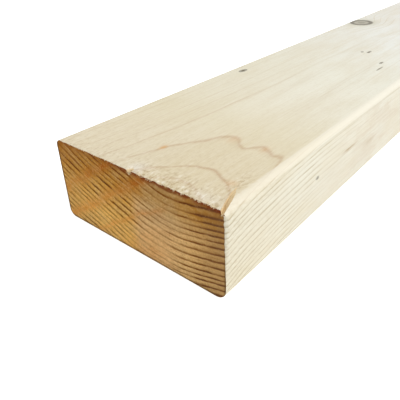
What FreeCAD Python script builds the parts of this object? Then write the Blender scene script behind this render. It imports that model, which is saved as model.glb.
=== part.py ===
import FreeCAD, Part
import math
import os
import Sketcher

# A two-by-four: one length of dressed softwood framing lumber, sawn and planed from a single piece.
# +X runs along the grain, from the near end with the torn corner to the far end.
# +Y runs across the wide faces, from the front edge to the back edge. +Z is up.
# The board lies on a wide face, and the origin is under the middle of that face.

# Driving sizes, in millimetres.
SIZES = (
    ("board_length", 2438.4, "eight feet, a length such stock is sold in"),
    ("board_width", 88.9, "three and a half inches, the dressed width of a nominal four"),
    ("board_thickness", 38.1, "one and a half inches, the dressed thickness of a nominal two"),
    ("front_top_ease", 4.0, "radius of the eased arris between front edge and top face"),
    ("front_bottom_ease", 4.5, "radius of the eased arris between front edge and bottom face"),
    ("back_top_ease", 3.2, "radius of the eased arris between back edge and top face"),
    ("back_bottom_ease", 3.2, "radius of the eased arris between back edge and bottom face"),
    ("tear_length", 15.0, "how far the torn corner runs along the grain"),
    ("tear_depth", 2.1, "depth of the tear below the top face, at the end"),
    ("tear_outer_depth", 1.6, "depth of the tear where it runs off the front edge, at the end"),
    ("tear_inset", 3.0, "from the front edge to the lip of the tear, at the end"),
    ("tear_lean", 0.7, "how far the wall of the tear leans out from its lip to its root"),
    ("tear_tip_inset", 6.2, "from the front edge to the lip of the tear, at its tip"),
    ("tear_tip_width", 2.6, "width of the tearing sliver over its tip"),
    ("tear_clearance", 1.0, "how far the torn volume stands clear of the wood, above and in front"),
)

doc = FreeCAD.newDocument("two_by_four")
sheet = doc.addObject("Spreadsheet::Sheet", "sizes")
for row, (alias, size, meaning) in enumerate(SIZES, start=1):
    sheet.set(f"A{row}", alias)
    sheet.set(f"B{row}", str(size))
    sheet.setAlias(f"B{row}", alias)
    sheet.set(f"C{row}", meaning)
doc.recompute()


def read(alias):
    """A driving size from the sheet, in millimetres."""
    return float(sheet.get(alias))


def origin_plane(body, role):
    """One of the body's own origin planes."""
    for feature in body.Origin.OriginFeatures:
        if feature.Role == role:
            return feature
    raise ValueError("no origin plane " + role)


def sketch_across_grain(body, name, station):
    """A sketch square to the grain: its x is the board's Y, its y is the board's Z."""
    sketch = body.newObject("Sketcher::SketchObject", name)
    sketch.AttachmentSupport = [(origin_plane(body, "YZ_Plane"), "")]
    sketch.MapMode = "FlatFace"
    sketch.setExpression("AttachmentOffset.Base.z", station)
    return sketch


def bind(sketch, constraint, name, expression):
    """Add one dimension to the sketch and tie it to the sheet."""
    index = sketch.addConstraint(constraint)
    sketch.renameConstraint(index, name)
    sketch.setExpression("Constraints." + name, expression)


def draw_eased_section(sketch):
    """The planed section: four straight faces, each joined to the next by a tangent arc."""
    half = read("board_width") / 2
    high = read("board_thickness")
    top_front = read("front_top_ease")
    low_front = read("front_bottom_ease")
    top_back = read("back_top_ease")
    low_back = read("back_bottom_ease")

    def point(y, z):
        return FreeCAD.Vector(y, z, 0)

    def line(start, end):
        return sketch.addGeometry(Part.LineSegment(point(*start), point(*end)), False)

    def arc(centre, radius, quarter):
        circle = Part.Circle(point(*centre), FreeCAD.Vector(0, 0, 1), radius)
        start = math.radians(90 * quarter)
        end = math.radians(90 * (quarter + 1))
        return sketch.addGeometry(Part.ArcOfCircle(circle, start, end), False)

    bottom = line((low_front - half, 0), (half - low_back, 0))
    bottom_back = arc((half - low_back, low_back), low_back, 3)
    back = line((half, low_back), (half, high - top_back))
    back_top = arc((half - top_back, high - top_back), top_back, 0)
    top = line((half - top_back, high), (top_front - half, high))
    top_front_arc = arc((top_front - half, high - top_front), top_front, 1)
    front = line((-half, high - top_front), (-half, low_front))
    front_bottom = arc((low_front - half, low_front), low_front, 2)

    outline = (bottom, bottom_back, back, back_top, top, top_front_arc, front, front_bottom)
    for this, following in zip(outline, outline[1:] + outline[:1]):
        sketch.addConstraint(Sketcher.Constraint("Tangent", this, 2, following, 1))
    for level in (bottom, top):
        sketch.addConstraint(Sketcher.Constraint("Horizontal", level))
    for upright in (front, back):
        sketch.addConstraint(Sketcher.Constraint("Vertical", upright))

    # The bottom face lies on the ground plane, and the edges stand evenly either side of the origin.
    sketch.addConstraint(Sketcher.Constraint("PointOnObject", bottom, 1, -1))
    bind(sketch, Sketcher.Constraint("DistanceX", front, 1, -1, 1, half), "to_front", "sizes.board_width / 2")
    bind(sketch, Sketcher.Constraint("DistanceX", -1, 1, back, 1, half), "to_back", "sizes.board_width / 2")
    bind(sketch, Sketcher.Constraint("DistanceY", -1, 1, top, 1, high), "to_top", "sizes.board_thickness")
    for name, corner in (
        ("back_bottom_ease", bottom_back),
        ("back_top_ease", back_top),
        ("front_top_ease", top_front_arc),
        ("front_bottom_ease", front_bottom),
    ):
        bind(sketch, Sketcher.Constraint("Radius", corner, read(name)), name, "sizes." + name)


def draw_tear_section(sketch, corners):
    """A four-sided slice of the torn volume. Each corner is named, with its distance in from the front
    edge and its height above the top face, as expressions in the sheet's sizes."""
    front = -read("board_width") / 2
    high = read("board_thickness")
    unit_square = ((1, 1), (1, 0), (0, 0), (0, 1))
    starts = [FreeCAD.Vector(front + across, high + above, 0) for across, above in unit_square]
    sides = []
    for start, end in zip(starts, starts[1:] + starts[:1]):
        sides.append(sketch.addGeometry(Part.LineSegment(start, end), False))
    for this, following in zip(sides, sides[1:] + sides[:1]):
        sketch.addConstraint(Sketcher.Constraint("Coincident", this, 2, following, 1))
    for side, start, (name, inset, rise) in zip(sides, starts, corners):
        across = Sketcher.Constraint("DistanceX", side, 1, -1, 1, -start.x)
        above = Sketcher.Constraint("DistanceY", -1, 1, side, 1, start.y)
        bind(sketch, across, name + "_across", "sizes.board_width / 2 - (" + inset + ")")
        bind(sketch, above, name + "_above", "sizes.board_thickness + (" + rise + ")")


board = doc.addObject("PartDesign::Body", "board")
board.Label = "board"

section = sketch_across_grain(board, "eased_section", "0")
draw_eased_section(section)

stock = board.newObject("PartDesign::Pad", "stock")
stock.Profile = section
stock.SideType = "Symmetric"
stock.setExpression("Length", "sizes.board_length")
doc.recompute()

# The near end's top front corner is torn. A sliver has come away along the grain: the gap has a steep
# wall on the board's side and a floor that falls to the front edge, and it runs out at the top face.
tear_at_end = sketch_across_grain(board, "tear_at_end", "-sizes.board_length / 2")
draw_tear_section(
    tear_at_end,
    (
        ("lip", "sizes.tear_inset", "sizes.tear_clearance"),
        ("root", "sizes.tear_inset - sizes.tear_lean", "-sizes.tear_depth"),
        ("mouth", "-sizes.tear_clearance", "-sizes.tear_outer_depth"),
        ("shoulder", "-sizes.tear_clearance", "sizes.tear_clearance"),
    ),
)
tear_at_tip = sketch_across_grain(
    board, "tear_at_tip", "sizes.tear_length - sizes.board_length / 2"
)
draw_tear_section(
    tear_at_tip,
    (
        ("lip", "sizes.tear_tip_inset", "sizes.tear_clearance"),
        ("root", "sizes.tear_tip_inset", "0"),
        ("mouth", "sizes.tear_tip_inset - sizes.tear_tip_width", "sizes.tear_clearance / 2"),
        ("shoulder", "sizes.tear_tip_inset - sizes.tear_tip_width", "sizes.tear_clearance"),
    ),
)
torn_corner = board.newObject("PartDesign::SubtractiveLoft", "torn_corner")
torn_corner.Profile = tear_at_end
torn_corner.Sections = [tear_at_tip]
torn_corner.Ruled = True
board.Tip = torn_corner
doc.recompute()

for item in doc.Objects:
    if "Invalid" in item.State or "Error" in item.State:
        raise RuntimeError(item.Name + " failed: " + str(item.State))
for sketch in (section, tear_at_end, tear_at_tip):
    if not sketch.FullyConstrained:
        raise RuntimeError(sketch.Name + " is not fully constrained")
if torn_corner.Shape.Volume >= stock.Shape.Volume:
    raise RuntimeError("the torn corner takes nothing away")

os.makedirs("parts", exist_ok=True)
for part in (board,):
    shape = part.Shape
    if shape.isNull() or not shape.isValid():
        raise RuntimeError(part.Label + " has no valid shape")
    if len(shape.Solids) != 1:
        raise RuntimeError(part.Label + " is not one solid")
    shape.exportStep(os.path.join("parts", part.Label + ".step"))
    box = shape.optimalBoundingBox()
    print(
        part.Label,
        f"{box.XLength:.1f} x {box.YLength:.1f} x {box.ZLength:.1f} mm,",
        f"{len(shape.Faces)} faces, {shape.Volume / 1e9:.5f} cubic metres,",
        f"torn away {stock.Shape.Volume - shape.Volume:.1f} cubic mm",
    )
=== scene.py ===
# %% [markdown]
# A two-by-four is one length of softwood framing lumber, sawn and planed from a single piece. This lesson
# dresses the plain constructed board: its grain, its sawn ends, the torn corner and the fibres that the
# saw left. The board could be dressed with a wood picture wrapped round a box, but then the lines on the
# end, the top and the side would not meet. Here the growth rings are worked out once, in space, so every
# face shows a cut through the same tree.

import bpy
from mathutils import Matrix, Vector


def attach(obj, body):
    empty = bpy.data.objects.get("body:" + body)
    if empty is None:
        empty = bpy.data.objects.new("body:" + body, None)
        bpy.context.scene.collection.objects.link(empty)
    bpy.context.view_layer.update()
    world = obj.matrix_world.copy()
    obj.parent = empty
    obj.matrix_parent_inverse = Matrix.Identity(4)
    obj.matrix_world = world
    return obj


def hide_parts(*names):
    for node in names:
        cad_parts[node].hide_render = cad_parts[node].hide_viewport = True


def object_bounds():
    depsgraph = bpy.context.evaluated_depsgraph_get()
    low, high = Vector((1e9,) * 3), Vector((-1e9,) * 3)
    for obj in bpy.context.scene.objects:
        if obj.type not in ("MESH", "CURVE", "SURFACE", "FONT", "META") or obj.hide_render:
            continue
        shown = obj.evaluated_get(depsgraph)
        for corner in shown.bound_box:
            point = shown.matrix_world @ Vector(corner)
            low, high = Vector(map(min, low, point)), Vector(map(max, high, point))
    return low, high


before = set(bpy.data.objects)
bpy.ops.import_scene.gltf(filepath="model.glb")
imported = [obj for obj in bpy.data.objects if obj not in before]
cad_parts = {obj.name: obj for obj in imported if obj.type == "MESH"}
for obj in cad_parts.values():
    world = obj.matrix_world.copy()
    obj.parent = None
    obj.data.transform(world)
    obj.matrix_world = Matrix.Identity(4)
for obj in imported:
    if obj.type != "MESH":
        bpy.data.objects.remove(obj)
cad_low, cad_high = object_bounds()
print("constructed board runs from", tuple(cad_low), "to", tuple(cad_high))

# %% [markdown]
# The sizes are those of the constructed board, in millimetres, because lumber is easier to think of that
# way than in metres. Lengths along the grain are counted from the near end, so that "12" always means 12
# mm into the wood.

# %% The board's sizes
import math

import bpy
import numpy as np
from mathutils import Matrix, Vector

MM = 0.001
low_x, low_y, low_z = (value / MM for value in cad_low)
high_x, high_y, high_z = (value / MM for value in cad_high)
board_length = high_x - low_x
half_width = (high_y - low_y) / 2
thickness = high_z - low_z
front_top_ease = 4.0
front_bottom_ease = 4.5
back_top_ease = 3.2
back_bottom_ease = 3.2
saw_allowance = 0.35
dice = np.random.default_rng(24)
print(f"board {board_length:.1f} long, {2 * half_width:.1f} wide, {thickness:.1f} thick")

# %% [markdown]
# A tree grows outwards from its pith, one ring a year. This board was cut well below the pith of its log,
# so its end shows wide bowls, and its wide face cuts the same bowls lengthwise into the arches called
# cathedrals. A picture or a wave texture could draw lines like these, but the widths of real rings differ
# from year to year. So a small function gives the ring number at any point in the wood, from a list of
# ring widths, and every face simply asks it. The widths are counted downwards from the first dark line
# under the top face.

# %% Where the rings lie
first_line_height = 36.2
ring_widths = (2.7, 3.3, 2.4, 2.5, 2.3, 2.3, 2.6, 3.0, 3.2, 3.0, 2.9, 2.3, 2.1, 2.7, 2.8)
years_above = np.tile((2.6, 2.3, 2.8, 2.5), 3)
years_below = np.tile((2.5, 2.6, 2.3, 2.8, 2.4), 5)
ring_edges = np.cumsum(np.concatenate(([0], years_above, ring_widths, years_below))) - years_above.sum()
print(len(ring_edges), "rings, the topmost one seen", first_line_height, "mm above the bottom face")

# %% [markdown]
# Seen from the end, each ring is a shallow bowl, lowest 20 mm in front of the board's middle, and a
# little steeper near the top face than near the bottom. Seen along the grain, the trunk is never quite
# straight. Near this end the rings climb towards the top face for the length of a hand, fastest over the
# bottom of the bowls, and then run level. That is why the arches close so near the end. Further along the
# pith wanders a little. Straight pipes of rings would be simpler, but they draw ruler-straight lines that
# no tree has.

# %% The bowls and the climb
bowl_marks = (-56, -41, -38, -32, -25, -20, -15, -5, 5, 15, 25, 35, 56)
bowl_rise_low = (8.7, 4.2, 3.4, 1.6, 0, -0.4, -0.2, 0.5, 3.4, 6.8, 10.3, 12.9, 19.8)
bowl_rise_high = (6.9, 3.1, 2.5, 1.2, 0, -0.4, -0.2, 2.6, 6.0, 8.9, 12.4, 16.7, 25.3)
climb_marks = (-50, 0, 5, 10, 16, 25, 34, 45, 65, 90, 5000)
climb_heights = (-4, 0, 1.8, 3.4, 4.8, 6.0, 7.5, 8.4, 10.0, 10.6, 10.6)
crest_marks = (-56, -44.5, -41.5, -40, -36, -30, -27, -24, -21, -16, -12, -8, -4, 0, 4, 8, 12, 56)
crest_shares = (0.86, 0.86, 0.62, 0.60, 0.75, 0.84, 0.89, 0.96, 1.01)
crest_shares += (0.95, 0.85, 0.72, 0.62, 0.51, 0.35, 0.27, 0.24, 0.18)


def bent_run(place, marks, values, reach):
    """A run of straight pieces through the marks, with its corners rounded over a reach."""
    return sum(np.interp(place + reach * step, marks, values) for step in (-1, -0.5, 0, 0.5, 1)) / 5


def bowl(across, up):
    """How far a ring stands above its height 25 mm towards the front edge from the middle of the board."""
    share = np.clip((up - 4) / 29, -0.3, 1.3)
    low = bent_run(across, bowl_marks, bowl_rise_low, 2.5)
    high = bent_run(across, bowl_marks, bowl_rise_high, 2.5)
    return low + share * (high - low)


def climb(along, across):
    """How far the rings have risen at a distance from the near end."""
    beside = np.clip((across + 43) / 9, 0, 1) * np.clip((-3 - across) / 8, 0, 1)
    crest_slant = 6 * np.clip(1 - along / 42, 0, 1) * beside
    near = bent_run(along, climb_marks, climb_heights, 2.5)
    near = near * bent_run(across - crest_slant, crest_marks, crest_shares, 2.4)
    settled = np.clip((along - 110) / 300, 0, 1)
    return near + settled * (2.4 * np.sin(along / 190 + 0.6) + 1.7 * np.sin(along / 83 + 2.0))


def pith_sway(along):
    """How far the pith has moved sideways at a distance from the near end."""
    settled = np.clip((along - 110) / 300, 0, 1)
    return settled * (6 * np.sin(along / 330) + 3 * np.sin(along / 140 + 1.0))


print("rings climb", climb(45.0, -20.0).round(1), "mm in the first 45 mm of the board")

# %% [markdown]
# A knot is the foot of a branch. The branch starts at the pith and runs outwards through the wood, and
# the rings bend round it like water round a stone. Each knot here is a leaning cylinder that passes
# through the board, so one that shows on the top face comes out again on the edge or the bottom. A
# painted spot would be quicker, but it would float on a single face. A pin knot is a twig's: a small
# egg-shaped spot, given by its middle and its reach.

# %% The knots
branch_spread = 0.5
knots = (
    {"along": 288.3, "across": 33.8, "long": 10.6, "wide": 8.6, "lean": 0.5, "swell": 6.0},
    {"along": 741, "across": -21, "long": 7.5, "wide": 4.6, "lean": 0.4, "swell": 3.8},
    {"along": 1196, "across": 12, "long": 11, "wide": 6.5, "lean": 0.5, "swell": 4.8},
    {"along": 1630, "across": -33, "long": 6.5, "wide": 4.0, "lean": 0.3, "swell": 3.2},
    {"along": 2085, "across": 24, "long": 9, "wide": 5.0, "lean": 0.5, "swell": 4.2},
)
pin_knots = (
    ((123.5, 36, 38), (3.2, 1.7, 5)),
    ((204.2, -6.6, 38), (3.0, 0.8, 3)),
    ((202, -3.0, 38), (1.1, 0.9, 3)),
    ((184.6, -21.9, 38), (2.4, 0.7, 3)),
    ((172.5, -25.6, 38), (4.0, 0.5, 3)),
    ((63.7, -44.4, 21.5), (1.3, 4, 0.8)),
    ((540, -44.4, 13), (3.6, 5, 2.2)),
    ((905, 40, 38), (3.2, 2.2, 5)),
    ((1410, -8, 0), (3.6, 2.2, 5)),
    ((1905, 44.4, 17), (4.0, 5, 2.0)),
)


def knot_distance(knot, along, across, up):
    """How far a point is from a knot's middle line, where 1 is the knot's own edge."""
    below = thickness - up
    off_along = (along - knot["along"] - knot["lean"] * below) / knot["long"]
    off_across = (across - knot["across"] * (1 + branch_spread * below / 100)) / knot["wide"]
    return np.sqrt(off_along**2 + off_across**2)


def reaches_away(point, middle, reach):
    """How far a point is from the middle of a spot, where 1 is the spot's own edge."""
    return np.sqrt(sum(((value - centre) / size) ** 2 for value, centre, size in zip(point, middle, reach)))


def knot_heart(along, across, up):
    """1 in the middle of a knot, 0.37 at its edge and nearly 0 in clear wood."""
    nearest = np.full(np.shape(along), 9.0)
    for knot in knots:
        nearest = np.minimum(nearest, knot_distance(knot, along, across, up))
    for pin in pin_knots:
        nearest = np.minimum(nearest, 5 * np.clip(reaches_away((along, across, up), *pin) - 0.8, 0, None))
    return np.exp(-nearest)

# %% [markdown]
# Now the ring number itself. A point's height is measured from the bowls, less the climb, and bent where
# knots and small ripples push the rings. The arch on the top face has a dimple in its tip, as the real
# one has, which is one more small push.

# %% The ring number at a point in the wood
def ring_number(along, across, up):
    """Counts growth rings outwards from the pith. Whole numbers fall on each year's dark edge."""
    across_log = across - pith_sway(along)
    below_first = first_line_height - (up - climb(along, across_log) - bowl(across_log, up))
    dimple = np.exp(-(reaches_away((along, across), (42, -22.6), (12, 2.8)) ** 2))
    ripple = np.sin(along / 23 + across / 6.5) * np.sin(along / 41 - across / 9 + 1.3)
    below_first += 0.25 * dimple + 0.18 * np.clip((along - 30) / 60, 0, 1) * ripple
    for knot in knots:
        below_first += knot["swell"] * np.exp(-((knot_distance(knot, along, across, up) / 2.2) ** 2))
    for pin in pin_knots:
        below_first += 0.5 * np.exp(-((reaches_away((along, across, up), *pin) / 1.9) ** 2))
    return np.interp(below_first, ring_edges, np.arange(len(ring_edges)))


print("rings across the near end's front edge:", np.ptp(ring_number(0, -44, np.array([0, 38]))).round(1))

# %% [markdown]
# The section of the board is a rectangle with its four long corners eased, each by its own radius. A
# bevel modifier could round them, but the mesh needs its points packed closely near the notch and the
# torn corner, and evenly elsewhere. So the outline is laid out point by point, as four sides that each
# run from the middle of one eased corner to the middle of the next.

# %% The eased outline
arc_steps = 5
wide_steps = 118
narrow_steps = 30


def eased_arc(centre, radius, first, last):
    """Points and outward directions along part of an eased corner, angles in degrees."""
    turn = np.radians(np.linspace(first, last, arc_steps + 1))
    outward = np.stack([np.cos(turn), np.sin(turn)], axis=1)
    return np.array(centre) + radius * outward, outward


def crowd(start, end, steps, busy=()):
    """Marks from start to end, closer together near the busy places (place, reach, closeness)."""
    fine = np.linspace(start, end, 2000)
    closeness = np.ones_like(fine)
    for place, reach, extra in busy:
        closeness += extra * np.exp(-(((fine - place) / reach) ** 2))
    share = np.concatenate(([0], np.cumsum((closeness[1:] + closeness[:-1]) / 2)))
    return np.interp(np.linspace(0, share[-1], steps + 1), share, fine)


def one_side(arc_in, marks, arc_out):
    """One side of the outline: half a corner, the straight, and half the next corner."""
    (points_in, outward_in), (points_out, outward_out) = arc_in, arc_out
    straight = np.outer(1 - marks, points_in[-1]) + np.outer(marks, points_out[0])
    flat = np.tile(outward_in[-1], (len(marks), 1))
    points = np.concatenate([points_in[:-1], straight, points_out[1:]])
    outward = np.concatenate([outward_in[:-1], flat, outward_out[1:]])
    return points, outward


back_top = (half_width - back_top_ease, thickness - back_top_ease)
front_top = (front_top_ease - half_width, thickness - front_top_ease)
front_bottom = (front_bottom_ease - half_width, front_bottom_ease)
back_bottom = (half_width - back_bottom_ease, back_bottom_ease)

busy_places = ((-18, 24, 1.2), (0, 3, 1), (-39, 4, 1))
top_places = crowd(back_top[0], front_top[0], wide_steps, busy_places)
top_marks = (back_top[0] - top_places) / (back_top[0] - front_top[0])
wide_marks = np.linspace(0, 1, wide_steps + 1)
narrow_marks = np.linspace(0, 1, narrow_steps + 1)
corners = (
    (back_top, back_top_ease),
    (front_top, front_top_ease),
    (front_bottom, front_bottom_ease),
    (back_bottom, back_bottom_ease),
)
sides = []
for number, marks in enumerate((top_marks, narrow_marks, wide_marks, narrow_marks)):
    facing = 90 * (number + 1)
    arc_in = eased_arc(*corners[number], facing - 45, facing)
    arc_out = eased_arc(*corners[(number + 1) % 4], facing, facing + 45)
    sides.append(one_side(arc_in, marks, arc_out))
top_points = sides[0][0]
wide_cells = len(top_points) - 1
narrow_cells = len(sides[1][0]) - 1
outline, outward = (np.concatenate([side[part][:-1] for side in sides]) for part in (0, 1))
around = len(outline)
print("outline of", around, "points:", wide_cells, "cells across,", narrow_cells, "cells high")

# %% [markdown]
# Along the grain the board needs close sections only where something happens: at the ragged near end,
# round the knots and at the far end. A long even stretch is the same section again and again, so there
# the sections stand far apart. Each zone below has its own spacing, and where zones overlap the closest
# spacing holds.

# %% Where the sections stand
zones = [(0, board_length, 37), (0, 130, 4.6), (0, 54, 1.5), (0, 15, 0.75), (0, 3, 0.375)]
zones += [(board_length - 9, board_length, 3.5), (board_length - 2, board_length, 0.5)]
for knot in knots:
    zones.append((knot["along"] - 24, knot["along"] + 42, 10))
    zones.append((knot["along"] - 1.2 * knot["long"], knot["along"] + 1.2 * knot["long"], 2.4))
    zones.append((knot["along"], knot["along"] + 38 * knot["lean"] + knot["long"], 4.5))
for (along, _, _), (reach, _, _) in pin_knots:
    zones.append((along - 1.5 * reach, along + 1.5 * reach, 0.6 * reach))


def section_stations(hair=0.01):
    """Distances from the near end at which the outline is repeated."""
    stations = [0.0]
    while stations[-1] < board_length - hair:
        here = stations[-1]
        step = min(spacing for start, end, spacing in zones if start - hair <= here < end - hair)
        closer = [start for start, end, spacing in zones if spacing < step]
        stops = [start for start in closer if here + hair < start < here + step]
        stations.append(min(stops + [here + step, board_length]))
    return np.array(stations)


stations = section_stations()
print(len(stations), "sections")

# %% [markdown]
# At the near end a sliver of the top front corner has torn away. The tear is a narrow strip: a steep wall
# on the board's side, bright where it catches the light, and a tan floor that runs out on the eased
# corner. It is 2 mm deep at the end and closes to nothing 14 mm in, slanting inwards along the grain. The
# columns of the mesh are slid so that one follows the lip of the wall, the next its foot and another the
# floor's far side: a cut that crossed the columns would come out as saw teeth.

# %% The torn corner
tear_tip = 13.6
tear_lip_marks = (0, 5.7, 10.6, tear_tip)
tear_lip_places = (-41.85, -39.95, -38.45, -37.9)
tear_side_marks = (0, 4.0, 7.7, 11, tear_tip)
tear_side_places = (-43.3, -42.3, -41.25, -39.9, -38.3)
tear_depth = 2.0
tear_lean = 0.3
slide_back = 16.0
anchor_place = -34
anchor_column = int(np.argmin(np.abs(top_points[:, 0] - anchor_place)))
last_column = wide_cells + arc_steps
lip_column = last_column - 2 * arc_steps + 1


def corner_run(across):
    """How far round the planed surface a point lies, counted from where the flat top ends."""
    round_part = front_top_ease * np.arcsin(np.clip((front_top[0] - across) / front_top_ease, 0, 1))
    return np.where(across > front_top[0], front_top[0] - across, round_part)


def corner_place(run):
    """The point at a run, and the outward direction there: two arrays of (across, up)."""
    turn = math.pi / 2 + np.clip(run, 0, None) / front_top_ease
    direction = np.stack([np.cos(turn), np.sin(turn)], axis=1)
    place = np.array(front_top) + front_top_ease * direction
    place[:, 0] -= np.clip(run, None, 0)
    return place, direction


def slid_runs(along):
    """Where the columns of points near the front corner stand at one station."""
    straight = front_top[0] - top_points[anchor_column : wide_cells - arc_steps + 1, 0]
    plain = np.concatenate([straight, np.linspace(0, front_top_ease * math.pi / 2, 2 * arc_steps + 1)[1:]])
    lip = corner_run(np.interp(along, tear_lip_marks, tear_lip_places))
    side = corner_run(np.interp(along, tear_side_marks, tear_side_places))
    before = lip_column - anchor_column
    to_lip = np.linspace(plain[0], lip, before + 1)
    floor = np.linspace(lip, side, 4)[1:3]
    beyond = np.linspace(side, plain[-1], len(plain) - before - 3)
    torn = np.concatenate([to_lip, floor, beyond])
    back = np.clip((along - tear_tip) / slide_back, 0, 1)
    return torn + (plain - torn) * back


def tear_floor(along, share):
    """The torn surface from the foot of the wall (share 0) to the front edge (share 1), as (across, up)."""
    left = 1 - np.clip(along / tear_tip, 0, 1)
    foot = np.interp(along, tear_lip_marks, tear_lip_places) - tear_lean * left
    side, _ = corner_place(np.atleast_1d(corner_run(np.interp(along, tear_side_marks, tear_side_places))))
    across = foot + (side[0, 0] - foot) * share
    foot_up = thickness - tear_depth * left**1.35
    up = foot_up + (side[0, 1] - foot_up) * share
    splinters = 0.06 * left * np.sin(along * 2.3 + share * 4) * np.sin(math.pi * (0.15 + 0.7 * share))
    return across, up - abs(splinters)


print("the tear reaches", tear_tip, "mm along the grain; its lip is column", lip_column)

# %% [markdown]
# The saw left the top edge of this end ragged. Bits have chipped away in scallops, and in the middle a
# small notch is torn out. Each is given as how far the surface is worn down at a point of the top face.
# Random bumps alone would look like gravel, so the chips are long in the direction of the grain. They are
# deepest in front of the middle, where the saw came out of the wood. The upright front edge of the end
# has lost a thin line of splinters as well.

# %% Chips along the near end's top edge
behind_notch = 3
notch_middle, notch_reach, notch_depth, notch_length = 0.1, 1.3, 1.9, 3.0
chips = []
place = -41.0
while place < 42:
    if place < behind_notch:
        deepest = 0.5 + 0.5 * math.exp(-(((place + 8) / 8) ** 2))
        chip_width, chip_depth, gap = dice.uniform(0.55, 1.35), dice.uniform(0.1, deepest), 1.9
    else:
        chip_width, chip_depth, gap = dice.uniform(0.8, 2.2), dice.uniform(0.05, 0.35), 1.5
    chips.append((place, chip_width, chip_depth, dice.uniform(0.7, 2.4)))
    place += chip_width * dice.uniform(0.9, gap)


def chipped(along, across):
    """How deep the top surface is chipped at a point near the end."""
    depth = np.zeros(np.broadcast(along, across).shape)
    for middle, chip_width, deep, reach in chips:
        side = np.clip(1 - ((across - middle) / chip_width) ** 2, 0, 1) ** 0.7
        depth = np.maximum(depth, deep * side * np.clip(1 - along / reach, 0, 1))
    notch_side = np.clip(1 - np.abs(across - notch_middle) / notch_reach, 0, 1) ** 0.6
    notch_end = notch_length + 0.8 * np.sin(across * 5)
    return np.maximum(depth, notch_depth * notch_side * np.clip(1 - along / notch_end, 0, 1))


def splintered(along, up):
    """How deep the front edge of the near end is splintered away, at a height on its side."""
    deep = np.interp(up, (8, 11, 16, 22, 25, 30, 34.5, 36.5), (0, 0.2, 0.45, 0.7, 0.85, 0.9, 1.3, 0.7))
    uneven = 1 + 0.18 * np.sin(up * 2.9) * np.sin(up * 1.1 + 2)
    return deep * uneven * np.clip(1 - along / (1.2 + 0.3 * np.sin(up * 1.7)), 0, 1)


print(len(chips), "chips along the top edge")

# %% [markdown]
# Now the board is built: the outline is repeated at every station, worn down by the chips, the tear, the
# knots and a little handling wear on the long corners. A modifier could push the surface in by a texture,
# but then the tear's floor would be no sharper than the texture.

# %% The long faces
far_wear_reach = 1.2


def worn_section(along):
    """The outline at one station with its wear, and the outward directions: two arrays of (across, up)."""
    section = outline.copy()
    normal = outward.copy()
    if along < tear_tip + slide_back:
        moved = slice(anchor_column, last_column + 1)
        section[moved], normal[moved] = corner_place(slid_runs(along))
    across, up = section[:, 0], section[:, 1]
    heart = knot_heart(np.full(around, along), across, up)
    corner = np.minimum(np.abs(normal[:, 0]), np.abs(normal[:, 1])) * 1.41
    handling = 0.04 + 0.04 * np.sin(along / 37 + across) * np.sin(along / 101)
    wear = 0.03 + 0.16 * np.clip(heart - 0.37, 0, 1) + corner * handling
    section = section - normal * wear[:, None]
    is_top = (normal[:, 1] > 0.8) & (np.arange(around) < lip_column)
    section[is_top, 1] -= chipped(along, across[is_top])
    is_front = normal[:, 0] < -0.8
    section[is_front, 0] += splintered(along, up[is_front])
    near_far_end = np.clip(1 - (board_length - along) / far_wear_reach, 0, 1)
    far_wear = 0.25 * near_far_end * (0.5 + 0.5 * np.sin(across * 2.3))
    section -= normal * far_wear[:, None]
    if along < tear_tip:
        for column, share in ((lip_column + 1, 0.0), (lip_column + 2, 0.5)):
            section[column] = tear_floor(along, share)
    return section, normal


placed_stations = np.clip(stations, saw_allowance, board_length - saw_allowance)
sections, directions = (np.stack(parts) for parts in zip(*(worn_section(along) for along in stations)))
print("sections span", sections.min(axis=(0, 1)).round(2), "to", sections.max(axis=(0, 1)).round(2))

# %% [markdown]
# The two ends close the board. They are not one big polygon each, because the saw left them uneven. Each
# is a woven patch: a grid whose border is exactly the outline, so that no seam opens between the end and
# the long faces.

# %% Weave the ends
def woven_end(section):
    """A grid of (across, up) points whose border is the section."""
    top = section[: wide_cells + 1]
    front = section[wide_cells : wide_cells + narrow_cells + 1]
    bottom = section[wide_cells + narrow_cells : 2 * wide_cells + narrow_cells + 1][::-1]
    back = np.concatenate([section[2 * wide_cells + narrow_cells :], section[:1]])[::-1]
    across = np.linspace(0, 1, wide_cells + 1)[:, None, None]
    down = np.linspace(0, 1, narrow_cells + 1)[None, :, None]
    rows = (1 - down) * top[:, None] + down * bottom[:, None]
    columns = (1 - across) * back[None] + across * front[None]
    corners = (1 - across) * ((1 - down) * top[0] + down * bottom[0])
    corners = corners + across * ((1 - down) * top[-1] + down * bottom[-1])
    return rows + columns - corners


def saw_unevenness(across, up):
    """How far the saw left the end sunk: shallow slanting scores, and torn grain near the top edge."""
    slant = 0.57 * across + 0.82 * up
    scores = 0.07 * np.sin(slant * 2.1) * np.sin(slant * 0.6 + 0.8 * np.sin(across / 9)) + 0.07
    near_top = np.clip(1 - (thickness - up) / 2.2, 0, 1)
    return scores + near_top * 0.16 * (1 + np.sin(across * 3.7) * np.sin(across * 1.3))


near_grid = woven_end(sections[0])
far_grid = woven_end(sections[-1])
print("each end is woven from", near_grid.shape[0], "by", near_grid.shape[1], "points")

# %% [markdown]
# A mesh is a list of points and a list of faces that name their points by number. The border of each end
# shares the outline's points, and only the points within it are new. Each face also gets a kind, which
# decides its finish later.

# %% Put the board together
def border_index(column, row):
    """Which outline point a border point of a woven end is."""
    if row == 0:
        return column
    if column == wide_cells:
        return wide_cells + row
    if row == narrow_cells:
        return wide_cells + narrow_cells + (wide_cells - column)
    return (2 * wide_cells + narrow_cells + (narrow_cells - row)) % around


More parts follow.
